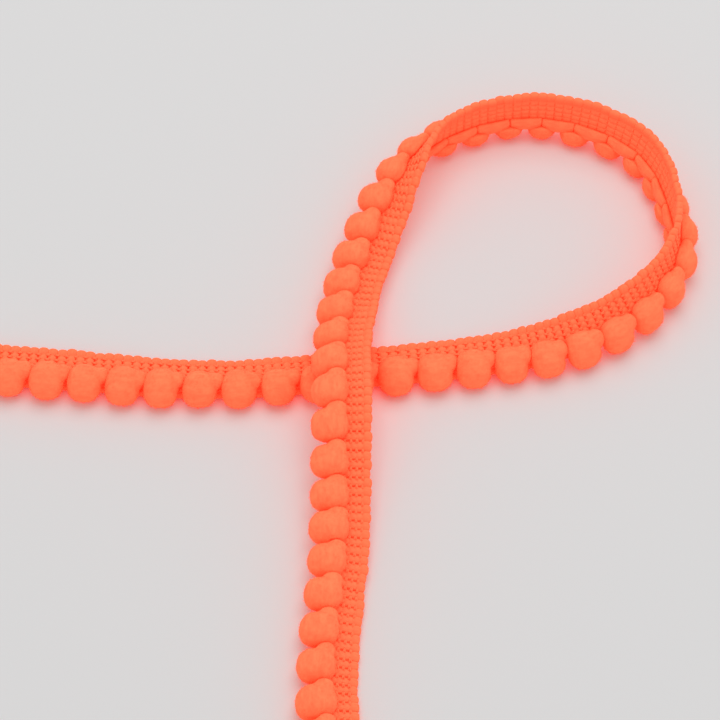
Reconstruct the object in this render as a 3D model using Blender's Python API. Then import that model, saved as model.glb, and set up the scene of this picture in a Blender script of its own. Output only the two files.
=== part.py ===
"""Pompom fringe trim: a knitted heading tape with a yarn pompom at every fourth stitch.

The trim is described flat first, in three directions of its own:
    along   its length, counted in pompoms, so pompom 7 sits at along = 7
    across  its width, from the pompom edge (minus) to the picot edge (plus)
    front   out of the face that carries the pompoms
Then it is laid along the loop in which it lies: one straight run, a turn standing on its pompom
edge, a roll back to flat, and a climb over the first run.
"""
import math

import bmesh
import bpy
import numpy as np

MM = 0.001

# Flat trim, mm. The picot tips and the far side of the pompoms are 9.6 mm apart.
PICOT_EDGE = 4.35
HEADING_THICK = 1.1
FLOAT_TOP = -0.7          # where the yarn floats begin behind the pompoms
FLOAT_FOOT = -2.8         # and where they end
PITCH = 6.0               # from one pompom to the next
BALL_ACROSS = -2.3        # middle of a pompom's oval, on which the trim rests
BALL_FRONT = 0.8
BALL_ACROSS_RADIUS = 3.1
BALL_FRONT_RADIUS = 2.55
BALL_TILT = 25.0          # how far the oval leans forward over the heading, degrees

# Heading section as (across, front), round from the picot tip down the front face and back up.
HEADING_SECTION = (
    (PICOT_EDGE, 0.0),
    (PICOT_EDGE - 0.3, HEADING_THICK / 2),
    (FLOAT_TOP, HEADING_THICK / 2),
    (FLOAT_FOOT, -0.45),
    (FLOAT_FOOT, -1.4),
    (-2.2, -1.8),
    (-1.4, -1.65),
    (FLOAT_TOP, -HEADING_THICK / 2),
    (PICOT_EDGE - 0.3, -HEADING_THICK / 2),
)
SECTIONS_PER_POMPOM = 2.2

# Pompom rings from its foot up over the heading, led aside by the pad toward a neighbour, mm.
# The rear gives way to the float, then to the front face of the heading.
#   across   lead   half length   rear   front
POMPOM_RINGS = (
    (-5.10, 0.00, 1.20, -0.40, 1.25),
    (-4.50, 0.00, 1.95, -1.20, 2.25),
    (-3.20, 0.00, 2.50, -1.80, 3.12),
    (-3.12, 0.00, 2.52, -0.05, 3.16),
    (-2.20, 0.05, 2.65, 0.40, 3.40),
    (-0.90, 0.30, 2.70, 0.95, 3.25),
    (0.00, 0.40, 2.25, 0.95, 2.75),
    (0.50, 0.45, 1.40, 1.00, 2.15),
)
POMPOM_FOOT = (-5.25, 0.0, 0.4)      # across, lead, front
PAD_TIP = (0.75, 0.50, 1.55)
PADS_TURN = 31            # pads lead to the next pompom before this one, to the last after it
RING_POINTS = 9

# How the trim lies. Lean is the roll about its own length: 0 flat with the pompoms up, 90 standing
# on its pompom edge. Lift is the height above lying on the floor. mm and degrees.
#   pompom      x       y     lean   lift
LAY = (
    (4.0, -44.0, -4.2, 2.0, 0.0),
    (8.0, -19.5, -5.4, -5.0, 0.0),
    (12.0, 5.5, -2.8, 0.0, 0.0),
    (15.0, 24.0, -0.6, 9.0, 0.0),
    (17.0, 35.2, 2.1, 32.0, 0.0),
    (19.0, 45.3, 8.2, 54.0, 0.0),
    (21.0, 51.9, 18.0, 76.0, 0.0),
    (23.0, 52.0, 29.0, 101.0, 0.0),
    (25.0, 47.7, 40.1, 110.0, 0.0),
    (27.0, 37.0, 47.0, 105.0, 0.0),
    (29.0, 25.5, 48.0, 97.0, 0.0),
    (31.0, 14.5, 43.5, 85.0, 0.4),
    (33.0, 7.5, 34.5, 39.0, 1.8),
    (35.0, 2.6, 23.5, 4.0, 1.4),
    (37.0, -0.7, 12.0, 5.0, 1.2),
    (39.0, -2.3, -0.5, 7.0, 4.0),
    (41.0, -2.4, -12.0, 5.0, 5.8),
    (43.0, -2.5, -23.5, -4.0, 3.2),
    (46.0, -3.0, -40.5, -14.0, 1.0),
    (49.0, -4.5, -58.5, -13.0, 0.2),
    (52.0, -3.5, -76.5, -8.0, 0.2),
)
POMPOMS = 51
FIRST_CUT = 0.4           # the cut ends of the trim, along
LAST_CUT = 51.7
FRAME_X = 5.1             # from the loop's own origin to the middle of its bounding box
FRAME_Y = 11.9


def natural_spline(knots, values):
    """Second derivatives at the knots of the natural cubic spline through the values."""
    step = np.diff(knots)
    slope = np.diff(values, axis=0) / step[:, None]
    system = np.eye(len(knots))
    right = np.zeros_like(values)
    for i in range(1, len(knots) - 1):
        system[i, i - 1:i + 2] = step[i - 1], 2 * (step[i - 1] + step[i]), step[i]
        right[i] = 6 * (slope[i] - slope[i - 1])
    return np.linalg.solve(system, right)


LAY_KNOTS = np.array([row[0] for row in LAY])
LAY_VALUES = np.array([row[1:] for row in LAY])
LAY_BENDS = natural_spline(LAY_KNOTS, LAY_VALUES)


def lay_row(along):
    """x, y, lean and lift at a place along the trim. Before the first row it runs straight on."""
    inside = max(along, LAY_KNOTS[0])
    i = min(np.searchsorted(LAY_KNOTS, inside, side="right"), len(LAY_KNOTS) - 1)
    step = LAY_KNOTS[i] - LAY_KNOTS[i - 1]
    b = (inside - LAY_KNOTS[i - 1]) / step
    a = 1 - b
    row = a * LAY_VALUES[i - 1] + b * LAY_VALUES[i]
    row = row + ((a ** 3 - a) * LAY_BENDS[i - 1] + (b ** 3 - b) * LAY_BENDS[i]) * step ** 2 / 6
    if along < inside:
        slope = (LAY_VALUES[1] - LAY_VALUES[0]) / step - LAY_BENDS[1] * step / 6
        row[:2] += slope[:2] * (along - inside)
    return row


def spine(along):
    """Point of the trim's middle line, so high that the pompoms' oval rests on the floor."""
    x, y, lean, lift = lay_row(along)
    lean, turned = math.radians(lean), math.radians(lean + BALL_TILT)
    oval = math.hypot(BALL_ACROSS_RADIUS * math.sin(turned), BALL_FRONT_RADIUS * math.cos(turned))
    height = oval - BALL_ACROSS * math.sin(lean) - BALL_FRONT * math.cos(lean) + lift
    return np.array((x, y, height)), lean


def directions(along):
    """Middle point with the directions across and front there."""
    point, lean = spine(along)
    ahead = spine(along + 0.01)[0] - spine(along - 0.01)[0]
    ahead = ahead / np.linalg.norm(ahead)
    left = np.cross((0.0, 0.0, 1.0), ahead)
    left = left / np.linalg.norm(left)
    up = np.cross(ahead, left)
    across = left * math.cos(lean) + up * math.sin(lean)
    front = up * math.cos(lean) - left * math.sin(lean)
    return point, across, front


def laid(along, across, front):
    """A place in the flat trim, moved to where it lies in the loop, in metres."""
    point, across_way, front_way = directions(along)
    place = point + across * across_way + front * front_way
    return (place + (FRAME_X, FRAME_Y, 0.0)) * MM


def yarn_material(name, colour, roughness):
    material = bpy.data.materials.new(name)
    material.use_nodes = True
    shader = material.node_tree.nodes["Principled BSDF"]
    shader.inputs["Base Color"].default_value = colour
    shader.inputs["Roughness"].default_value = roughness
    shader.inputs["Metallic"].default_value = 0.0
    return material


def finish(mesh, name, material, collection):
    """Wrap a bmesh up as a named object with its faces pointing out."""
    bmesh.ops.recalc_face_normals(mesh, faces=mesh.faces)
    data = bpy.data.meshes.new(name)
    mesh.to_mesh(data)
    mesh.free()
    data.materials.append(material)
    data.shade_smooth()
    data.set_sharp_from_angle(angle=math.radians(50))
    collection.objects.link(bpy.data.objects.new(name, data))


def build_heading(material, collection):
    """Loft the heading's section from one cut end to the other."""
    mesh = bmesh.new()
    count = round((LAST_CUT - FIRST_CUT) * SECTIONS_PER_POMPOM)
    loops = []
    for along in np.linspace(FIRST_CUT, LAST_CUT, count + 1):
        loops.append([mesh.verts.new(laid(along, *corner)) for corner in HEADING_SECTION])
    corners = len(HEADING_SECTION)
    for here, there in zip(loops, loops[1:]):
        for i in range(corners):
            j = (i + 1) % corners
            mesh.faces.new((here[i], here[j], there[j], there[i]))
    mesh.faces.new(loops[0])
    mesh.faces.new(loops[-1])
    finish(mesh, "heading", material, collection)


def build_pompom(number, material, collection):
    """Loft one pompom with its pad through its rings, closed at the foot and at the pad's tip."""
    mesh = bmesh.new()
    side = np.sign(PADS_TURN - number)
    ends = [laid(number + half, BALL_ACROSS, BALL_FRONT) for half in (-0.5, 0.5)]
    along_mm = MM / np.linalg.norm(ends[1] - ends[0])
    rings = []
    for across, lead, half_length, rear, front in POMPOM_RINGS:
        ring = []
        for step in range(RING_POINTS):
            angle = 2 * math.pi * (step + 0.5) / RING_POINTS
            along = number + (side * lead + half_length * math.cos(angle)) * along_mm
            depth = (front + rear) / 2 + (front - rear) / 2 * math.sin(angle)
            ring.append(mesh.verts.new(laid(along, across, depth)))
        rings.append(ring)
    for here, there in zip(rings, rings[1:]):
        for i in range(RING_POINTS):
            j = (i + 1) % RING_POINTS
            mesh.faces.new((here[i], here[j], there[j], there[i]))
    for ring, (across, lead, front) in ((rings[0], POMPOM_FOOT), (rings[-1], PAD_TIP)):
        tip = mesh.verts.new(laid(number + side * lead * along_mm, across, front))
        for i in range(RING_POINTS):
            mesh.faces.new((ring[i], ring[(i + 1) % RING_POINTS], tip))
    finish(mesh, f"pompom_{number:02d}", material, collection)


def build_trim():
    collection = bpy.data.collections.new("pompom_fringe_trim")
    bpy.context.scene.collection.children.link(collection)
    knit = yarn_material("knitted_polyester_yarn", (1.0, 0.155, 0.055, 1.0), 0.75)
    pile = yarn_material("brushed_polyester_yarn", (1.0, 0.175, 0.065, 1.0), 0.9)
    build_heading(knit, collection)
    for number in range(1, POMPOMS + 1):
        build_pompom(number, pile, collection)


for existing in list(bpy.data.objects):
    bpy.data.objects.remove(existing)
build_trim()
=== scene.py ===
"""Looks of the pompom fringe trim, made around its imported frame.

The trim is knitted flat first, in three directions of its own: along its length, across its width
toward the picots, and to the front, the face that carries the pompoms. Geometry Nodes repeat the
yarn loops there. Every finished mesh is then laid along the route on which the frame's solids lie.
"""

import math

import bmesh
import bpy
import numpy as np
from mathutils import Euler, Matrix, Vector


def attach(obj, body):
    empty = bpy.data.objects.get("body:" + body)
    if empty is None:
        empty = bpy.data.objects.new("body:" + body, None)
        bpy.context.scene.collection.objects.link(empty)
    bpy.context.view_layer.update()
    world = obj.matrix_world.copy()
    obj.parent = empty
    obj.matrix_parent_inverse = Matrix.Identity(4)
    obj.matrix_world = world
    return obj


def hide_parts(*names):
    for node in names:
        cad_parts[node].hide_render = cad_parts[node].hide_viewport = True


bl_info = {
    "name": "Pompom Fringe Trim",
    "version": (1, 0, 0),
    "blender": (4, 5, 0),
    "location": "3D View > Sidebar > Trim",
    "description": "Knits a picot heading with yarn floats and brushed pompoms, laid in a loop",
    "category": "Add Mesh",
}

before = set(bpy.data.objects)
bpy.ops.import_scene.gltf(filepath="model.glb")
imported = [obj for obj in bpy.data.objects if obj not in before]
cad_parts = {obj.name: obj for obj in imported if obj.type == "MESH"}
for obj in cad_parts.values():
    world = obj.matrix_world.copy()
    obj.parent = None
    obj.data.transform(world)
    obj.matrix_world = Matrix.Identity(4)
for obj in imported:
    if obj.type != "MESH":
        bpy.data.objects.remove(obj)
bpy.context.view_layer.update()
MM = 0.001

# The route of the trim. Lean is the roll about its own length: 0 flat with the pompoms up, 90
# standing on its pompom edge. Lift is the height above lying on the floor. mm and degrees.
#   pompom      x       y     lean   lift
LAY = (
    (4.0, -44.0, -4.2, 2.0, 0.0),
    (8.0, -19.5, -5.4, -5.0, 0.0),
    (12.0, 5.5, -2.8, 0.0, 0.0),
    (15.0, 24.0, -0.6, 9.0, 0.0),
    (17.0, 35.2, 2.1, 32.0, 0.0),
    (19.0, 45.3, 8.2, 54.0, 0.0),
    (21.0, 51.9, 18.0, 76.0, 0.0),
    (23.0, 52.0, 29.0, 101.0, 0.0),
    (25.0, 47.7, 40.1, 110.0, 0.0),
    (27.0, 37.0, 47.0, 105.0, 0.0),
    (29.0, 25.5, 48.0, 97.0, 0.0),
    (31.0, 14.5, 43.5, 85.0, 0.4),
    (33.0, 7.5, 34.5, 39.0, 1.8),
    (35.0, 2.6, 23.5, 4.0, 1.4),
    (37.0, -0.7, 12.0, 5.0, 1.2),
    (39.0, -2.3, -0.5, 7.0, 4.0),
    (41.0, -2.4, -12.0, 5.0, 5.8),
    (43.0, -2.5, -23.5, -4.0, 3.2),
    (46.0, -3.0, -40.5, -14.0, 1.0),
    (49.0, -4.5, -58.5, -13.0, 0.2),
    (52.0, -3.5, -76.5, -8.0, 0.2),
)
FRAME_X = 5.1             # where the route's own origin lies in the frame, mm
FRAME_Y = 11.9
BALL_ACROSS = -2.3        # middle of a pompom's oval, on which the trim rests, mm
BALL_FRONT = 0.8
BALL_ACROSS_RADIUS = 3.1
BALL_FRONT_RADIUS = 2.55
BALL_TILT = 25.0          # how far the oval leans forward over the heading, degrees
POMPOMS = 51
FIRST_CUT = 0.4           # the cut ends of the trim, along, counted in pompoms
LAST_CUT = 51.7
ROUTE_START = -0.5        # the route is worked out from here, past the cut ends
ROUTE_END = 52.5
ROUTE_STEP = 0.02
LEAST_HEIGHT = 0.02       # of any stitch or fibre above the floor, mm


def natural_spline(knots, values):
    """Second derivatives at the knots of the natural cubic spline through the values."""
    step = np.diff(knots)
    slope = np.diff(values, axis=0) / step[:, None]
    system = np.eye(len(knots))
    right = np.zeros_like(values)
    for i in range(1, len(knots) - 1):
        system[i, i - 1:i + 2] = step[i - 1], 2 * (step[i - 1] + step[i]), step[i]
        right[i] = 6 * (slope[i] - slope[i - 1])
    return np.linalg.solve(system, right)


def lay_rows(along):
    """x, y, lean and lift at places along the trim. Before the first row it runs straight on."""
    knots = np.array([row[0] for row in LAY])
    values = np.array([row[1:] for row in LAY])
    bends = natural_spline(knots, values)
    inside = np.maximum(along, knots[0])
    i = np.clip(np.searchsorted(knots, inside, side="right"), 1, len(knots) - 1)
    step = knots[i] - knots[i - 1]
    b = (inside - knots[i - 1]) / step
    a = 1 - b
    curve = ((a ** 3 - a) * bends[i - 1].T + (b ** 3 - b) * bends[i].T) * step ** 2 / 6
    rows = (a * values[i - 1].T + b * values[i].T + curve).T
    slope = (values[1] - values[0]) / (knots[1] - knots[0]) - bends[1] * (knots[1] - knots[0]) / 6
    rows[:, :2] += np.outer(along - inside, slope[:2])
    return rows


def spine(along):
    """Points of the trim's middle line, so high that the pompoms' oval rests on the floor."""
    x, y, lean, lift = lay_rows(along).T
    lean = np.radians(lean)
    turned = lean + math.radians(BALL_TILT)
    oval = np.hypot(BALL_ACROSS_RADIUS * np.sin(turned), BALL_FRONT_RADIUS * np.cos(turned))
    height = oval - BALL_ACROSS * np.sin(lean) - BALL_FRONT * np.cos(lean) + lift
    return np.stack((x, y, height), axis=1), lean


def route(along):
    """Middle points of the trim with the directions across and front there, side by side."""
    point, lean = spine(along)
    ahead = spine(along + ROUTE_STEP / 2)[0] - spine(along - ROUTE_STEP / 2)[0]
    ahead /= np.linalg.norm(ahead, axis=1)[:, None]
    left = np.cross((0.0, 0.0, 1.0), ahead)
    left /= np.linalg.norm(left, axis=1)[:, None]
    up = np.cross(ahead, left)
    cos_lean, sin_lean = np.cos(lean)[:, None], np.sin(lean)[:, None]
    across = left * cos_lean + up * sin_lean
    front = up * cos_lean - left * sin_lean
    return np.hstack(((point + (FRAME_X, FRAME_Y, 0.0)) * MM, across, front))


ROUTE_ALONG = np.arange(ROUTE_START, ROUTE_END, ROUTE_STEP)
ROUTE = route(ROUTE_ALONG)


def lay_down(flat, pitch):
    """Flat places, in metres, moved to where they lie in the loop. Nothing sinks into the floor."""
    along = flat[:, 0] / pitch
    there = np.stack([np.interp(along, ROUTE_ALONG, column) for column in ROUTE.T], axis=1)
    middle, across, front = there[:, :3], there[:, 3:6], there[:, 6:]
    laid = middle + flat[:, 1:2] * across + flat[:, 2:3] * front
    laid[:, 2] = np.maximum(laid[:, 2], LEAST_HEIGHT * MM)
    return laid


# --- settings ---------------------------------------------------------------------------------


def length(name, description, default):
    """A size in metres that a user can change."""
    return bpy.props.FloatProperty(
        name=name, description=description, default=default, min=0.0, precision=5, unit="LENGTH"
    )


class TrimSettings(bpy.types.PropertyGroup):
    pitch: length("Pompom spacing", "Length of trim from one pompom to the next", 0.006)
    courses_per_pompom: bpy.props.IntProperty(
        name="Stitches per pompom", description="Knitted courses, and picots, to each pompom",
        default=4, min=1,
    )
    wale_gap: length("Wale spacing", "Distance between neighbouring chains of stitches", 0.00095)
    picot_edge: length("Picot edge", "From the middle of the heading to the picot tips", 0.00435)
    stitch_yarn: length("Stitch yarn", "Thickness of the yarn of the chain stitches", 0.0003)
    seed: bpy.props.IntProperty(
        name="Seed", description="Which of the small unevennesses of the knitting are used",
        default=7,
    )


class PileSettings(bpy.types.PropertyGroup):
    ball_across: length("Pompom across", "Half of a pompom's size across the trim",
                        BALL_ACROSS_RADIUS * MM)
    ball_front: length("Pompom depth", "Half of a pompom's size from back to front",
                       BALL_FRONT_RADIUS * MM)
    ball_along: length("Pompom along", "Half of a pompom's size along the trim", 0.0028)
    ball_tilt: bpy.props.FloatProperty(
        name="Pompom tilt", description="How far the pompoms lean forward over the heading",
        default=math.radians(BALL_TILT), subtype="ANGLE",
    )
    fibre: length("Fibre length", "Length of the loose fibres of the brushed pile", 0.0004)
    fibres_per_mm2: bpy.props.FloatProperty(
        name="Fibre density", description="Loose fibres on each square millimetre of pile",
        default=7.0, min=0.0,
    )


class ColourSettings(bpy.types.PropertyGroup):
    yarn: bpy.props.StringProperty(
        name="Yarn", description="Dye colour of the heading's yarn, sRGB hex", default="FF8C5C"
    )
    pile: bpy.props.StringProperty(
        name="Pile", description="Dye colour of the pompoms' pile, sRGB hex", default="FF9161"
    )
    # Painted glow: an emission that stands in for the dye's fluorescence and the camera's glare.
    painted_glow: bpy.props.StringProperty(
        name="Fluorescence", description="Light that the neon dye gives back, sRGB hex",
        default="FF2A10",
    )
    painted_glow_strength: bpy.props.FloatProperty(
        name="Fluorescence strength", description="How strongly the neon dye shines",
        default=0.5, min=0.0,
    )
    floor: bpy.props.StringProperty(
        name="Floor", description="Colour of the floor under the trim, sRGB hex", default="E7E6E6"
    )


# --- helpers ----------------------------------------------------------------------------------


def linear(hex_colour):
    """An sRGB hex colour as linear RGBA."""
    channels = [int(hex_colour[i:i + 2], 16) / 255 for i in (0, 2, 4)]
    return (*(c / 12.92 if c <= 0.04045 else ((c + 0.055) / 1.055) ** 2.4 for c in channels), 1.0)


def add_node(tree, kind, inputs, **settings):
    """Add a node. Each of its inputs gets a value, or a link from another node's output."""
    made = tree.nodes.new(kind)
    for name, value in settings.items():
        setattr(made, name, value)
    for name, value in inputs.items():
        if isinstance(value, bpy.types.NodeSocket):
            tree.links.new(value, made.inputs[name])
        else:
            made.inputs[name].default_value = value
    return made


def node_group(name, inputs):
    """A Geometry Nodes group that takes and gives a geometry, and the outputs of its input node."""
    tree = bpy.data.node_groups.new(name, "GeometryNodeTree")
    tree.interface.new_socket("Geometry", in_out="OUTPUT", socket_type="NodeSocketGeometry")
    tree.interface.new_socket("Geometry", in_out="INPUT", socket_type="NodeSocketGeometry")
    for label, kind in inputs:
        tree.interface.new_socket(label, in_out="INPUT", socket_type="NodeSocket" + kind)
    return tree, add_node(tree, "NodeGroupInput", {}).outputs


def grow(template, tree, values):
    """Run a Geometry Nodes group on a template object and keep the result as a plain mesh."""
    modifier = template.modifiers.new(tree.name, "NODES")
    modifier.node_group = tree
    for item in tree.interface.items_tree:
        if item.in_out == "INPUT" and item.name in values:
            modifier[item.identifier] = values[item.name]
    evaluated = template.evaluated_get(bpy.context.evaluated_depsgraph_get())
    mesh = bpy.data.meshes.new_from_object(evaluated)
    bpy.data.objects.remove(template)
    return mesh


def loft(name, rings, tips):
    """Closed smooth template through rings of flat points in mm, drawn in to a tip at each end.

    Its yarn map holds the distance round the yarn and the distance along it, in metres.
    """
    rings = np.asarray(rings, float) * MM
    tips = np.asarray(tips, float) * MM
    count, around = rings.shape[:2]
    points = np.vstack((rings.reshape(-1, 3), tips))
    centres = np.vstack((tips[:1], rings.mean(axis=1), tips[1:]))
    run = np.cumsum(np.r_[0.0, np.linalg.norm(np.diff(centres, axis=0), axis=1)])
    sides = np.linalg.norm(rings - np.roll(rings, -1, axis=1), axis=2).sum(axis=1).mean() / around
    faces, yarn_map = [], []
    for i in range(count - 1):
        here, there = i * around, (i + 1) * around
        low, high = run[i + 1], run[i + 2]
        for j in range(around):
            k = (j + 1) % around
            faces.append((here + j, here + k, there + k, there + j))
            left, right = j * sides, (j + 1) * sides
            yarn_map += [(left, low), (right, low), (right, high), (left, high)]
    for ring, tip, place, end in ((0, count * around, run[1], run[0]),
                                  (count - 1, count * around + 1, run[-2], run[-1])):
        for j in range(around):
            faces.append((ring * around + j, ring * around + (j + 1) % around, tip))
            yarn_map += [(j * sides, place), ((j + 1) * sides, place), ((j + 0.5) * sides, end)]
    mesh = bpy.data.meshes.new(name)
    mesh.from_pydata(points.tolist(), [], faces)
    mesh.uv_layers.new(name="yarn_map").data.foreach_set("uv", np.ravel(yarn_map))
    shell = bmesh.new()
    shell.from_mesh(mesh)
    bmesh.ops.recalc_face_normals(shell, faces=shell.faces)
    shell.to_mesh(mesh)
    shell.free()
    mesh.shade_smooth()
    return link(name, mesh)


def link(name, mesh):
    """Show a mesh in the scene under a name of its own."""
    made = bpy.data.objects.new(name, mesh)
    bpy.context.scene.collection.objects.link(made)
    return made


def tube(name, path, thickness, sides=4):
    """Yarn template of a round section along a path of flat points in mm."""
    path = np.asarray(path, float)
    rings = []
    for i in range(1, len(path) - 1):
        ahead = Vector(path[i + 1] - path[i - 1]).normalized()
        out = ahead.to_track_quat("Z", "Y").to_matrix()
        turns = [2 * math.pi * (side + 0.5) / sides for side in range(sides)]
        spokes = [np.array(out @ Vector((math.cos(t), math.sin(t), 0.0))) for t in turns]
        rings.append([path[i] + spoke * thickness / 2 for spoke in spokes])
    return loft(name, rings, (path[0], path[-1]))


def join(name, templates):
    """Several templates as one."""
    shell = bmesh.new()
    for part in templates:
        shell.from_mesh(part.data)
        bpy.data.objects.remove(part)
    mesh = bpy.data.meshes.new(name)
    shell.to_mesh(mesh)
    shell.free()
    mesh.shade_smooth()
    return link(name, mesh)


def hand_in(name, mesh, pitch, node_name):
    """Lay a flat mesh along the route and give it to the frame in place of its solid."""
    flat = np.empty(len(mesh.vertices) * 3)
    mesh.vertices.foreach_get("co", flat)
    mesh.vertices.foreach_set("co", lay_down(flat.reshape(-1, 3), pitch).ravel())
    mesh.update()
    piece = link(name, mesh)
    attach(piece, "root")
    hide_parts(node_name)
    return piece


# --- yarns ------------------------------------------------------------------------------------

# Sizes of the unevenness, coarse and fine, in the three directions of its map, mm.
KNITTED_UNEVENNESS = ((0.4, 1.5, 1.0), (0.14, 0.9, 1.0))
BRUSHED_UNEVENNESS = ((2.2, 0.7, 0.7), (0.9, 0.16, 0.16))
FILAMENT_RELIEF = 0.1     # height of the filaments on the yarn, mm
HOLLOW_SHADE = 0.84           # painted shade in the hollows of the relief, as a share of the colour


def neon_yarn(name, dye, colours, pattern, unevenness, roughness, sheen):
    """Fluorescent polyester: a matt dyed fibre with a painted glow, an emission of its own colour.

    Pattern is the map on which its unevenness lies.
    """
    material = bpy.data.materials.new(name)
    material.use_nodes = True
    tree = material.node_tree
    tree.nodes.clear()
    place = add_node(tree, "ShaderNodeAttribute", {}, attribute_name=pattern).outputs["Vector"]
    uneven = []
    for size in unevenness:
        stretched = add_node(tree, "ShaderNodeMapping", {
            "Vector": place, "Scale": [1 / (side * MM) for side in size]})
        uneven.append(add_node(tree, "ShaderNodeTexNoise", {
            "Vector": stretched.outputs["Vector"], "Scale": 1.0, "Detail": 2.0}).outputs["Fac"])
    height = add_node(tree, "ShaderNodeMath", {0: uneven[0], 1: uneven[1]}, operation="ADD")
    bump = add_node(tree, "ShaderNodeBump", {
        "Height": height.outputs["Value"], "Strength": 0.6, "Distance": FILAMENT_RELIEF * MM})
    light = linear(dye)
    # Painted shade: the colour is darker where the coarse relief is low.
    dark = [HOLLOW_SHADE * channel for channel in light[:3]] + [1.0]
    share = add_node(tree, "ShaderNodeMapRange", {
        "Value": uneven[0], "From Min": 0.35, "From Max": 0.65})
    tint = add_node(tree, "ShaderNodeMix", {
        "Factor": share.outputs["Result"], "A": dark, "B": light}, data_type="RGBA")
    # The emission is painted glow, as bright in the yarn's shade as in its light.
    shader = add_node(tree, "ShaderNodeBsdfPrincipled", {
        "Base Color": tint.outputs["Result"], "Normal": bump.outputs["Normal"],
        "Roughness": roughness, "Specular IOR Level": 0.2, "Sheen Weight": sheen,
        "Sheen Roughness": 0.5, "Sheen Tint": light, "Emission Color": linear(colours.painted_glow),
        "Emission Strength": colours.painted_glow_strength})
    add_node(tree, "ShaderNodeOutputMaterial", {"Surface": shader.outputs["BSDF"]})
    return material


def knitting_yarn():
    """Textured polyester filament yarn, knitted.

    It gives the eye a matt, slightly ribbed thread: its filaments show as fine lines along it. Real
    filaments are 0.02 mm, drawn here 0.14 mm wide so that they show.
    """
    made = bpy.data.materials.get("knitted_polyester_yarn_neon")
    colours = bpy.context.scene.trim_colours
    return made or neon_yarn(
        "knitted_polyester_yarn_neon", colours.yarn, colours, "yarn_map",
        KNITTED_UNEVENNESS, roughness=0.7, sheen=0.1)


def pile_yarn():
    """Textured polyester filament yarn, cut and brushed out to a pile.

    It gives the eye a soft matt ball, with its fibres combed along the trim. Real fibres are
    0.02 mm, drawn here as streaks 0.16 mm and 0.7 mm wide so that they show.
    """
    colours = bpy.context.scene.trim_colours
    return neon_yarn(
        "brushed_polyester_yarn_neon", colours.pile, colours, "flat_map",
        BRUSHED_UNEVENNESS, roughness=0.9, sheen=0.25)


# --- heading ----------------------------------------------------------------------------------

# One course of the heading: a weft loop across the tape, ending in its picot. Its rounded section
# is a share of the half width, and of the depth from back to front.
#   width  depth
LOOP_SECTION = (
    (0.0, 1.0), (0.58, 0.92), (0.90, 0.55), (0.97, 0.0), (1.08, -0.50), (0.82, -0.94),
    (-0.82, -0.94), (-1.08, -0.50), (-0.97, 0.0), (-0.90, 0.55), (-0.58, 0.92),
)
# The loop across one wale: drawn together with its neighbours by the chain on the line of the wale,
# and between two lines thicker but apart from them, which leaves small holes. Every other line is
# drawn in deeper at the back, mm.
#   from the line  half width  back  front
WALE_CELL = (
    (0.0, 0.83, -0.30, 0.37), (0.13, 0.80, -0.43, 0.43), (0.30, 0.74, -0.50, 0.49),
    (0.475, 0.71, -0.51, 0.50), (0.65, 0.74, -0.50, 0.49), (0.82, 0.80, -0.43, 0.43),
)
DEEP_BACK = -0.26
FIRST_WALE = -1.85        # across, the first line of chain stitches
WALES = 6
# Its inner end, under the pompoms, and its picot, mm.
LOOP_TIP = (0.0, -2.15, -0.1)       # along, across, front
#   across  half width  back  front
LOOP_START = (
    (-2.02, 0.70, -0.34, 0.10), (-1.68, 0.76, -0.36, 0.18), (-1.37, 0.82, -0.48, 0.35),
    (-1.12, 0.80, -0.46, 0.40),
)
PICOT = (
    (2.90, 0.80, -0.36, 0.32), (3.06, 0.86, -0.46, 0.46), (3.36, 0.90, -0.56, 0.57),
    (3.74, 0.89, -0.60, 0.61), (4.04, 0.78, -0.54, 0.55), (4.25, 0.50, -0.36, 0.36),
)

# The chain stitch that ties two courses: a loop on the front face and a short bar on the back, mm.
#   along  across  front
CHAIN_LOOP = (
    (0.62, -0.15, 0.16), (0.34, -0.14, 0.40), (-0.16, -0.06, 0.44), (-0.42, 0.0, 0.26),
    (-0.16, 0.06, 0.44), (0.34, 0.14, 0.40), (0.62, 0.15, 0.16),
)
CHAIN_BAR = (
    (-0.72, 0.0, -0.02), (-0.50, 0.0, -0.18), (0.0, 0.0, -0.23), (0.50, 0.0, -0.18),
    (0.72, 0.0, -0.02),
)
BAR_YARN = 0.8            # the bar's thickness as a share of the loop's

# The yarn float behind the pompoms, hanging like a swag from the middle of one pompom to the middle
# of the next, mm. A half is given, from its middle to its tip.
#   along  across  half width  front  half depth
FLOAT_HALF = (
    (0.0, -1.62, 1.14, -0.92, 0.54), (0.70, -1.60, 1.12, -0.92, 0.54),
    (1.40, -1.52, 1.05, -0.90, 0.53), (2.10, -1.38, 0.93, -0.87, 0.50),
    (2.60, -1.27, 0.83, -0.84, 0.46), (2.90, -1.20, 0.69, -0.80, 0.38),
)
FLOAT_TIP = (3.03, -1.18, -0.78)    # along, across, front
FLOAT_BOX = 2.5           # 2 is a round section, more is boxier
FLOAT_SIDES = 10
FIRST_FLOAT = 1.5         # the first float's middle, along, counted in pompoms

# How unevenly the stitches are made: shares of their size, then their place, mm, then their tilt,
# degrees, each in the directions along, across and front.
WEFT_SPREADS = ((0.01, 0.03, 0.06), (0.03, 0.05, 0.03), (2.0, 0.0, 1.0))
CHAIN_SPREADS = ((0.08, 0.12, 0.05), (0.05, 0.03, 0.02), (4.0, 4.0, 8.0))
FLOAT_SPREADS = ((0.0, 0.02, 0.05), (0.03, 0.06, 0.0), (0.0, 0.0, 1.0))
CHAIN_SEED = 10           # added to the trim's seed, so that each kind has its own unevenness
FLOAT_SEED = 20


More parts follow.
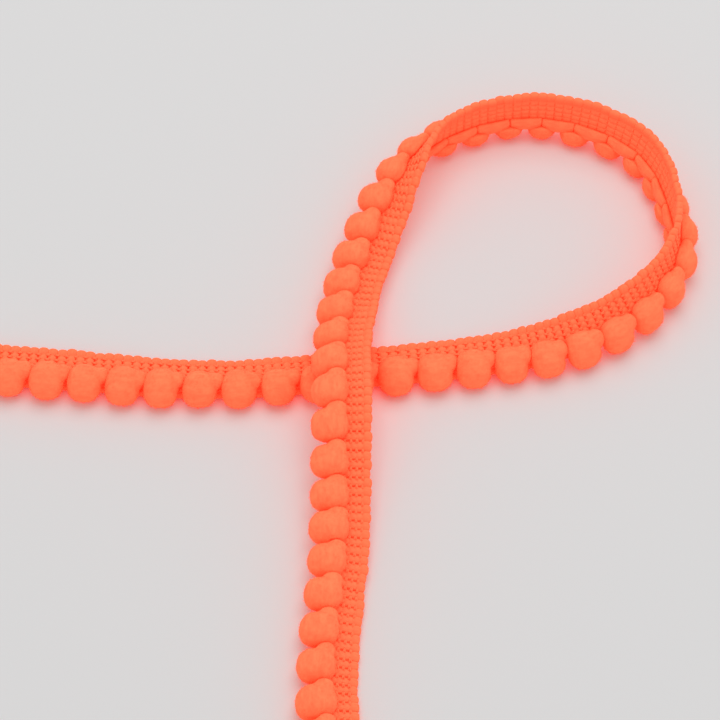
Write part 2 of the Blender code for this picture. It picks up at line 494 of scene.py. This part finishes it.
def repeated_stitch():
    """Geometry Nodes group: one stitch repeated over the courses and wales of the heading."""
    tree, given = node_group("Repeated stitch", (
        ("Courses", "Int"), ("Course Spacing", "Float"), ("First Course", "Float"),
        ("Wales", "Int"), ("Wale Spacing", "Float"), ("First Wale", "Float"),
        ("Size Spread", "Vector"), ("Place Spread", "Vector"), ("Tilt Spread", "Vector"),
        ("Seed", "Int"), ("Yarn", "Material")))
    spread = []
    for turn, (label, middle) in enumerate((
            ("Size Spread", (1.0, 1.0, 1.0)), ("Place Spread", (0.0, 0.0, 0.0)),
            ("Tilt Spread", (0.0, 0.0, 0.0)))):
        seed = add_node(tree, "ShaderNodeMath", {0: given["Seed"], 1: turn}, operation="ADD")
        chance = add_node(tree, "FunctionNodeRandomValue", {
            "Min": (-1.0, -1.0, -1.0), "Max": (1.0, 1.0, 1.0), "Seed": seed.outputs["Value"]},
            data_type="FLOAT_VECTOR")
        spread.append(add_node(tree, "ShaderNodeVectorMath", {
            0: chance.outputs["Value"], 1: given[label], 2: middle},
            operation="MULTIPLY_ADD").outputs["Vector"])
    size, shift, tilt = spread
    number = add_node(tree, "GeometryNodeInputIndex", {}).outputs["Index"]
    course = add_node(tree, "ShaderNodeMath", {0: number, 1: given["Courses"]}, operation="MODULO")
    passed = add_node(tree, "ShaderNodeMath", {0: number, 1: given["Courses"]}, operation="DIVIDE")
    wale = add_node(tree, "ShaderNodeMath", {0: passed.outputs["Value"]}, operation="FLOOR")
    along = add_node(tree, "ShaderNodeMath", {
        0: course.outputs["Value"], 1: given["Course Spacing"], 2: given["First Course"]},
        operation="MULTIPLY_ADD")
    across = add_node(tree, "ShaderNodeMath", {
        0: wale.outputs["Value"], 1: given["Wale Spacing"], 2: given["First Wale"]},
        operation="MULTIPLY_ADD")
    place = add_node(tree, "ShaderNodeCombineXYZ", {
        "X": along.outputs["Value"], "Y": across.outputs["Value"]})
    total = add_node(tree, "ShaderNodeMath", {0: given["Courses"], 1: given["Wales"]},
                     operation="MULTIPLY")
    points = add_node(tree, "GeometryNodePoints", {
        "Count": total.outputs["Value"], "Position": place.outputs["Vector"]})
    stitches = add_node(tree, "GeometryNodeInstanceOnPoints", {
        "Points": points.outputs[0], "Instance": given["Geometry"],
        "Rotation": tilt, "Scale": size})
    moved = add_node(tree, "GeometryNodeTranslateInstances", {
        "Instances": stitches.outputs["Instances"], "Translation": shift, "Local Space": False})
    whole = add_node(tree, "GeometryNodeRealizeInstances", {"Geometry": moved.outputs["Instances"]})
    dyed = add_node(tree, "GeometryNodeSetMaterial", {
        "Geometry": whole.outputs["Geometry"], "Material": given["Yarn"]})
    add_node(tree, "NodeGroupOutput", {"Geometry": dyed.outputs["Geometry"]})
    return tree


def knit(piece_name, template, spacing, first, wales, spreads, seed):
    """Repeat a stitch along the heading, lay it and hand it in for the heading's solid.

    Spacing is from one stitch to the next, and first from the cut end to the first one, in metres.
    """
    trim = bpy.context.scene.trim
    tree = bpy.data.node_groups.get("Repeated stitch") or repeated_stitch()
    size, shift, tilt = spreads
    mesh = grow(template, tree, {
        "Courses": int(((LAST_CUT - FIRST_CUT) * trim.pitch - first) / spacing + 0.5),
        "Course Spacing": spacing, "First Course": FIRST_CUT * trim.pitch + first,
        "Wales": wales, "Wale Spacing": trim.wale_gap,
        "First Wale": FIRST_WALE * MM if wales > 1 else 0.0,
        "Size Spread": size, "Place Spread": [side * MM for side in shift],
        "Tilt Spread": [math.radians(angle) for angle in tilt], "Seed": seed,
        "Yarn": knitting_yarn()})
    return hand_in(piece_name, mesh, trim.pitch, "heading")


def weft_loop():
    """Template of one course: a flat bar of yarn across the tape with its picot."""
    trim = bpy.context.scene.trim
    gap = trim.wale_gap / MM
    stations = list(LOOP_START)
    for wale in range(1, WALES - 1):
        for step, half_width, back, front in WALE_CELL:
            deep = DEEP_BACK if step == 0.0 and wale % 2 else back
            stations.append((FIRST_WALE + wale * gap + step, half_width, deep, front))
    rings = []
    for across, half_width, back, front in (*stations, *PICOT):
        middle, depth = (front + back) / 2, (front - back) / 2
        rings.append([(width * half_width, across, middle + share * depth)
                      for width, share in LOOP_SECTION])
    return loft("weft loop", rings, (LOOP_TIP, (0.0, trim.picot_edge / MM, 0.0)))


class TRIM_OT_weft_loops(bpy.types.Operator):
    """Knit the heading's courses, one flat weft loop across the tape for each picot"""
    bl_idname = "trim.weft_loops"
    bl_label = "Weft Loops"

    def execute(self, context):
        trim = context.scene.trim
        course = trim.pitch / trim.courses_per_pompom
        knit("weft_loops", weft_loop(), course, course / 2, 1, WEFT_SPREADS, trim.seed)
        return {"FINISHED"}


class TRIM_OT_chain_stitches(bpy.types.Operator):
    """Tie the courses with chain stitches, one row along each wale"""
    bl_idname = "trim.chain_stitches"
    bl_label = "Chain Stitches"

    def execute(self, context):
        trim = context.scene.trim
        course = trim.pitch / trim.courses_per_pompom
        yarn = trim.stitch_yarn / MM
        template = join("chain stitch", (
            tube("loop", CHAIN_LOOP, yarn), tube("bar", CHAIN_BAR, BAR_YARN * yarn)))
        knit("chain_stitches", template, course, course, WALES, CHAIN_SPREADS,
             trim.seed + CHAIN_SEED)
        return {"FINISHED"}


class TRIM_OT_yarn_floats(bpy.types.Operator):
    """Carry the pompom yarn behind the pompoms as one smooth float between each two"""
    bl_idname = "trim.yarn_floats"
    bl_label = "Yarn Floats"

    def execute(self, context):
        trim = context.scene.trim
        turns = 2 * np.pi * (np.arange(FLOAT_SIDES) + 0.5) / FLOAT_SIDES
        wide = np.sign(np.cos(turns)) * np.abs(np.cos(turns)) ** (2 / FLOAT_BOX)
        deep = np.sign(np.sin(turns)) * np.abs(np.sin(turns)) ** (2 / FLOAT_BOX)
        stations = [(-row[0], *row[1:]) for row in FLOAT_HALF[:0:-1]] + list(FLOAT_HALF)
        rings = [np.stack((np.full(FLOAT_SIDES, along), across + half_width * wide,
                           front + half_depth * deep), axis=1)
                 for along, across, half_width, front, half_depth in stations]
        end, across, front = FLOAT_TIP
        template = loft("yarn float", rings, ((-end, across, front), (end, across, front)))
        knit("yarn_floats", template, trim.pitch, (FIRST_FLOAT - FIRST_CUT) * trim.pitch, 1,
             FLOAT_SPREADS, trim.seed + FLOAT_SEED)
        return {"FINISHED"}


# --- pompoms ----------------------------------------------------------------------------------

# A pompom is a tilted ball, a little boxy when seen from the front, with a thumb of the same pile
# that leads to a neighbour. Places are in mm from the pompom's middle on the trim.
BALL_MIDDLE = (0.0, BALL_ACROSS, BALL_FRONT)
BALL_BOX = 2.4              # 2 is an oval outline, more is boxier
#   along  across  front | half sizes | soft crease to the ball
THUMB = ((2.45, -1.10, 1.50), (1.20, 1.50, 1.10), 0.5)
THUMBS_TURN = 31            # up to here they lead to the next pompom, from here to the one before
THUMB_GAP = 0.04            # left round a neighbour's thumb
# How far forward the heading and its floats reach, and the lower edge of the floats at the middle
# of a pompom and how it falls away from there, so that the pompom stays clear of them, mm.
#   across  front
HEADING_FACE = ((-3.40, -0.35), (-2.40, 0.20), (-1.00, 0.62), (1.40, 0.66))
FLOAT_EDGE = -1.90
FLOAT_EDGE_FALL = 0.09      # for each square mm along
FLOAT_GAP = 0.12            # left below the floats

# The surface is found by halving, outward from a point inside the ball.
CENTRE = (0.0, -3.0, 0.9)
REACH = 8.0                 # past which there is no pompom, mm
HALVINGS = 18
BALL_SUBDIVISIONS = 5
NEVER_ZERO = 1e-6           # keeps the distance's division safe in the middle of a shape

# How unevenly the pompoms are clipped.
SIZE_SPREAD = 0.03          # share of the whole size
RADIUS_SPREAD = 0.02        # share of each half size
TILT_SPREAD = 3.0           # degrees
THUMB_SHIFT = 0.1           # mm
THUMB_SPREAD = 0.08         # share of the thumb's half sizes
LUMPS = 6                   # soft waves over the ball
LUMP_TURNS = 1.9            # how tightly they follow each other, radians for each mm
LUMP_HEIGHT = 0.018         # mm

# The loose fibres: their rise from the pile and their turn sideways, degrees, their spread of size,
# and one fibre's shape as shares of its length.
LEAST_LIFT = 8.0
MOST_LIFT = 38.0
SIDEWAYS_SPREAD = 50.0
SMALLEST_FIBRE = 0.6
LARGEST_FIBRE = 1.3
FIBRE_ROOT = -0.1           # how deep it starts
FIBRE_WAIST = 0.55          # where it is thickest
FIBRE_BEND = 0.12           # how high it is bent there
FIBRE_THICK = 0.04          # half of its thickness there


def rounded(points, middle, radii, box=2.0):
    """Distance of points from an ellipsoid with a boxy outline, near enough, below 0 inside it."""
    scaled = (points - middle) / radii
    outline = (np.abs(scaled[:, :2]) ** box).sum(axis=1) ** (1 / box)
    size = np.hypot(outline, scaled[:, 2])
    steepness = np.maximum(np.linalg.norm(scaled / radii, axis=1), NEVER_ZERO)
    return size * (size - 1) / steepness


def soft_union(first, second, crease):
    """Distance to two shapes as one, with a soft crease between them."""
    share = np.clip(0.5 + 0.5 * (second - first) / crease, 0.0, 1.0)
    return second + (first - second) * share - crease * share * (1 - share)


def pompom_distance(points, form):
    """Distance of points from a pompom's surface, mm from its middle."""
    cos_tilt, sin_tilt = math.cos(form["tilt"]), math.sin(form["tilt"])
    out = points - BALL_MIDDLE
    turned = np.stack((out[:, 0], out[:, 1] * cos_tilt + out[:, 2] * sin_tilt,
                       out[:, 2] * cos_tilt - out[:, 1] * sin_tilt), axis=1)
    distance = rounded(turned, 0.0, form["radii"], BALL_BOX)
    middle, radii, crease = form["thumb"]
    distance = soft_union(distance, rounded(points, middle, radii), crease)
    along, across, front = points.T
    behind = np.interp(across, *zip(*HEADING_FACE)) - front
    edge = FLOAT_EDGE - FLOAT_EDGE_FALL * along ** 2 - FLOAT_GAP
    distance = np.maximum(distance, np.minimum(behind, across - edge))
    for thumb in form["neighbours_thumbs"]:
        distance = np.maximum(distance, -rounded(points, *thumb))
    return distance


def thumb_way(number):
    """How a thumb leads: 1 along to the next pompom, -1 to the one before, 0 where this changes."""
    return np.array((np.sign(THUMBS_TURN - number), 1.0, 1.0))


def pompom_mesh(number, chance, directions, faces):
    """Ball and thumb of one pompom as a closed mesh in the flat trim, a little uneven.

    It keeps its own width where the trim is stretched or pushed together in the bends.
    """
    trim, pile = bpy.context.scene.trim, bpy.context.scene.trim_pile
    pitch = trim.pitch / MM
    ends = lay_down(np.array([[(number + half) * pitch, BALL_ACROSS, BALL_FRONT]
                              for half in (-0.5, 0.5)]) * MM, trim.pitch)
    stretch = np.array((np.linalg.norm(ends[1] - ends[0]) / trim.pitch, 1.0, 1.0))
    size = 1 + chance.uniform(-SIZE_SPREAD, SIZE_SPREAD)
    radii = np.array((pile.ball_along, pile.ball_across, pile.ball_front)) / MM
    form = {
        "tilt": pile.ball_tilt + math.radians(chance.uniform(-TILT_SPREAD, TILT_SPREAD)),
        "radii": radii * size * (1 + chance.uniform(-RADIUS_SPREAD, RADIUS_SPREAD, 3)) / stretch,
        "thumb": (THUMB[0] * thumb_way(number) + chance.uniform(-THUMB_SHIFT, THUMB_SHIFT, 3),
                  THUMB[1] * (1 + chance.uniform(-THUMB_SPREAD, THUMB_SPREAD, 3)), THUMB[2]),
        "neighbours_thumbs": [
            (np.array((side * pitch, 0.0, 0.0)) + THUMB[0] * thumb_way(number + side),
             np.add(THUMB[1], THUMB_GAP))
            for side in (-1, 1) if thumb_way(number + side)[0] == -side],
    }
    inner, outer = np.zeros(len(directions)), np.full(len(directions), REACH)
    for _ in range(HALVINGS):
        reach = (inner + outer) / 2
        outside = pompom_distance(CENTRE + directions * reach[:, None], form) > 0
        inner, outer = np.where(outside, inner, reach), np.where(outside, reach, outer)
    waves = chance.normal(0.0, LUMP_TURNS, (LUMPS, 3))
    phases = chance.uniform(0.0, 2 * np.pi, LUMPS)
    lumps = np.cos((directions * reach[:, None]) @ waves.T + phases).sum(axis=1) * LUMP_HEIGHT
    places = CENTRE + directions * (reach + lumps)[:, None] + (number * pitch, 0.0, 0.0)
    mesh = bpy.data.meshes.new("pompom ball")
    mesh.from_pydata((places * MM).tolist(), [], faces)
    mesh.shade_smooth()
    return mesh


def brushed_pile():
    """Geometry Nodes group: fine fibres standing from a ball, combed along the trim."""
    tree, given = node_group("Brushed pile", (
        ("Fibre", "Object"), ("Fibre Density", "Float"), ("Least Lift", "Float"),
        ("Most Lift", "Float"), ("Sideways Spread", "Float"), ("Seed", "Int"),
        ("Pile", "Material")))
    roots = add_node(tree, "GeometryNodeDistributePointsOnFaces", {
        "Mesh": given["Geometry"], "Density": given["Fibre Density"], "Seed": given["Seed"]})
    standing = add_node(tree, "FunctionNodeAlignRotationToVector", {
        "Vector": roots.outputs["Normal"]}, axis="Z")
    combed = add_node(tree, "FunctionNodeAlignRotationToVector", {
        "Rotation": standing.outputs["Rotation"], "Vector": (1.0, 0.0, 0.0)},
        axis="X", pivot_axis="Z")
    lift = add_node(tree, "FunctionNodeRandomValue", {
        "Min": given["Least Lift"], "Max": given["Most Lift"], "Seed": given["Seed"]},
        data_type="FLOAT")
    down = add_node(tree, "ShaderNodeMath", {0: lift.outputs["Value"], 1: -1.0},
                    operation="MULTIPLY")
    side = add_node(tree, "FunctionNodeRandomValue", {
        "Min": -1.0, "Max": 1.0, "Seed": down.outputs["Value"]}, data_type="FLOAT")
    sideways = add_node(tree, "ShaderNodeMath", {
        0: side.outputs["Value"], 1: given["Sideways Spread"]}, operation="MULTIPLY")
    angles = add_node(tree, "ShaderNodeCombineXYZ", {
        "Y": down.outputs["Value"], "Z": sideways.outputs["Value"]})
    turned = add_node(tree, "FunctionNodeRotateRotation", {
        "Rotation": combed.outputs["Rotation"], "Rotate By": angles.outputs["Vector"]},
        rotation_space="LOCAL")
    scale = add_node(tree, "FunctionNodeRandomValue", {
        "Min": SMALLEST_FIBRE, "Max": LARGEST_FIBRE}, data_type="FLOAT")
    fibre = add_node(tree, "GeometryNodeObjectInfo", {"Object": given["Fibre"]})
    fibres = add_node(tree, "GeometryNodeInstanceOnPoints", {
        "Points": roots.outputs["Points"], "Instance": fibre.outputs["Geometry"],
        "Rotation": turned.outputs["Rotation"], "Scale": scale.outputs["Value"]})
    both = add_node(tree, "GeometryNodeJoinGeometry", {"Geometry": fibres.outputs["Instances"]})
    tree.links.new(given["Geometry"], both.inputs["Geometry"])
    whole = add_node(tree, "GeometryNodeRealizeInstances", {"Geometry": both.outputs["Geometry"]})
    place = add_node(tree, "GeometryNodeInputPosition", {})
    mapped = add_node(tree, "GeometryNodeStoreNamedAttribute", {
        "Geometry": whole.outputs["Geometry"], "Name": "flat_map",
        "Value": place.outputs["Position"]}, data_type="FLOAT_VECTOR", domain="POINT")
    dyed = add_node(tree, "GeometryNodeSetMaterial", {
        "Geometry": mapped.outputs["Geometry"], "Material": given["Pile"]})
    add_node(tree, "NodeGroupOutput", {"Geometry": dyed.outputs["Geometry"]})
    return tree


def pile_fibre():
    """Template of one loose fibre: a thin bent spindle of six faces, growing out along x."""
    size = bpy.context.scene.trim_pile.fibre
    thick = FIBRE_THICK * size
    waist = [(FIBRE_WAIST * size, thick * math.cos(t), FIBRE_BEND * size + thick * math.sin(t))
             for t in (0.0, 2 * math.pi / 3, 4 * math.pi / 3)]
    mesh = bpy.data.meshes.new("pile fibre")
    mesh.from_pydata([(FIBRE_ROOT * size, 0.0, 0.0), *waist, (size, 0.0, 0.0)], [], [
        (0, 2, 1), (0, 3, 2), (0, 1, 3), (4, 1, 2), (4, 2, 3), (4, 3, 1)])
    return link("pile fibre", mesh)


def sphere_directions():
    """Directions from the middle of a fine sphere to its corners, and its faces."""
    sphere = bmesh.new()
    bmesh.ops.create_icosphere(sphere, subdivisions=BALL_SUBDIVISIONS, radius=1.0)
    directions = np.array([corner.co[:] for corner in sphere.verts])
    directions /= np.linalg.norm(directions, axis=1)[:, None]
    faces = [[corner.index for corner in face.verts] for face in sphere.faces]
    sphere.free()
    return directions, faces


class TRIM_OT_pompoms(bpy.types.Operator):
    """Make the row of brushed pompoms, each with its thumb toward a neighbour"""
    bl_idname = "trim.pompoms"
    bl_label = "Pompoms"

    def execute(self, context):
        scene = context.scene
        directions, faces = sphere_directions()
        tree, fibre, yarn = brushed_pile(), pile_fibre(), pile_yarn()
        chance = np.random.default_rng(scene.trim.seed)
        for number in range(1, POMPOMS + 1):
            ball = link("ball", pompom_mesh(number, chance, directions, faces))
            mesh = grow(ball, tree, {
                "Fibre": fibre, "Fibre Density": scene.trim_pile.fibres_per_mm2 / MM ** 2,
                "Least Lift": math.radians(LEAST_LIFT), "Most Lift": math.radians(MOST_LIFT),
                "Sideways Spread": math.radians(SIDEWAYS_SPREAD), "Seed": number, "Pile": yarn})
            name = f"pompom_{number:02d}"
            hand_in(f"{name}_pile", mesh, scene.trim.pitch, name)
        bpy.data.objects.remove(fibre)
        return {"FINISHED"}


# --- stage ------------------------------------------------------------------------------------

# Sizes and places of the stage are in metres.
FLOOR_REACH = 3.0         # from the trim to the floor's edges
SKY_STRENGTH = 0.62
SOFT_BOX_SIZE = 0.8
SOFT_BOX_PLACE = (0.08, 0.3, 0.85)  # high up, behind the trim and a little to the right
SOFT_BOX_WATTS = 2.75
CAMERA_HEIGHT_ANGLE = math.radians(54)
CAMERA_DISTANCE = 0.449
CAMERA_VIEW = 0.117       # height of the view at the trim
CAMERA_TARGET = (FRAME_X * MM, FRAME_Y * MM, 0.0)


def matt_paper(colour):
    """Plain matt paper, which gives the eye an even pale ground without highlights."""
    material = bpy.data.materials.new("matt_paper")
    material.use_nodes = True
    shader = material.node_tree.nodes["Principled BSDF"].inputs
    shader["Base Color"].default_value = linear(colour)
    shader["Roughness"].default_value = 0.9
    shader["Specular IOR Level"].default_value = 0.1
    return material


def lay_floor(scene):
    """The plain floor under the trim."""
    plane = bmesh.new()
    bmesh.ops.create_grid(plane, x_segments=1, y_segments=1, size=FLOOR_REACH)
    mesh = bpy.data.meshes.new("floor")
    plane.to_mesh(mesh)
    plane.free()
    mesh.materials.append(matt_paper(scene.trim_colours.floor))
    link("floor", mesh)


def hang_lights(scene):
    """White light from all round, and a large soft box over the trim."""
    world = bpy.data.worlds.new("studio")
    world.use_nodes = True
    sky = world.node_tree.nodes["Background"].inputs
    sky["Color"].default_value = (1.0, 1.0, 1.0, 1.0)
    sky["Strength"].default_value = SKY_STRENGTH
    scene.world = world
    soft_box = bpy.data.lights.new("soft box", "AREA")
    soft_box.shape = "SQUARE"
    soft_box.size = SOFT_BOX_SIZE
    soft_box.energy = SOFT_BOX_WATTS
    lamp = bpy.data.objects.new("soft box", soft_box)
    lamp.location = SOFT_BOX_PLACE
    aim = Vector(CAMERA_TARGET) - lamp.location
    lamp.rotation_euler = aim.to_track_quat("-Z", "Y").to_euler()
    scene.collection.objects.link(lamp)


def set_camera(scene):
    """The camera, looking down on the loop from the front."""
    lens = bpy.data.cameras.new("camera")
    lens.angle = 2 * math.atan(CAMERA_VIEW / 2 / CAMERA_DISTANCE)
    camera = bpy.data.objects.new("camera", lens)
    camera.location = Vector(CAMERA_TARGET) + CAMERA_DISTANCE * Vector(
        (0.0, -math.cos(CAMERA_HEIGHT_ANGLE), math.sin(CAMERA_HEIGHT_ANGLE)))
    camera.rotation_euler = Euler((math.pi / 2 - CAMERA_HEIGHT_ANGLE, 0.0, 0.0))
    scene.collection.objects.link(camera)
    scene.camera = camera
    scene.view_settings.view_transform = "Standard"


class TRIM_OT_stage(bpy.types.Operator):
    """Set the pale floor, the soft studio light and the camera"""
    bl_idname = "trim.stage"
    bl_label = "Stage"

    def execute(self, context):
        lay_floor(context.scene)
        hang_lights(context.scene)
        set_camera(context.scene)
        return {"FINISHED"}


# --- add-on -----------------------------------------------------------------------------------


class TRIM_PT_panel(bpy.types.Panel):
    """The trim's sizes, its colours and the steps that make it"""
    bl_label = "Pompom Fringe Trim"
    bl_idname = "TRIM_PT_panel"
    bl_space_type = "VIEW_3D"
    bl_region_type = "UI"
    bl_category = "Trim"

    def draw(self, context):
        scene = context.scene
        for settings in (scene.trim, scene.trim_pile, scene.trim_colours):
            box = self.layout.box()
            for name in settings.__annotations__:
                box.prop(settings, name)
        for step in STEPS:
            self.layout.operator(step.bl_idname)


STEPS = (TRIM_OT_weft_loops, TRIM_OT_chain_stitches, TRIM_OT_yarn_floats, TRIM_OT_pompoms,
         TRIM_OT_stage)
CLASSES = (TrimSettings, PileSettings, ColourSettings, *STEPS, TRIM_PT_panel)


def register():
    for kind in CLASSES:
        bpy.utils.register_class(kind)
    bpy.types.Scene.trim = bpy.props.PointerProperty(type=TrimSettings)
    bpy.types.Scene.trim_pile = bpy.props.PointerProperty(type=PileSettings)
    bpy.types.Scene.trim_colours = bpy.props.PointerProperty(type=ColourSettings)


def unregister():
    del bpy.types.Scene.trim_colours
    del bpy.types.Scene.trim_pile
    del bpy.types.Scene.trim
    for kind in reversed(CLASSES):
        bpy.utils.unregister_class(kind)


def main():
    register()
    bpy.ops.trim.weft_loops()
    bpy.ops.trim.chain_stitches()
    bpy.ops.trim.yarn_floats()
    bpy.ops.trim.pompoms()
    bpy.ops.trim.stage()


if __name__ == "__main__":
    main()
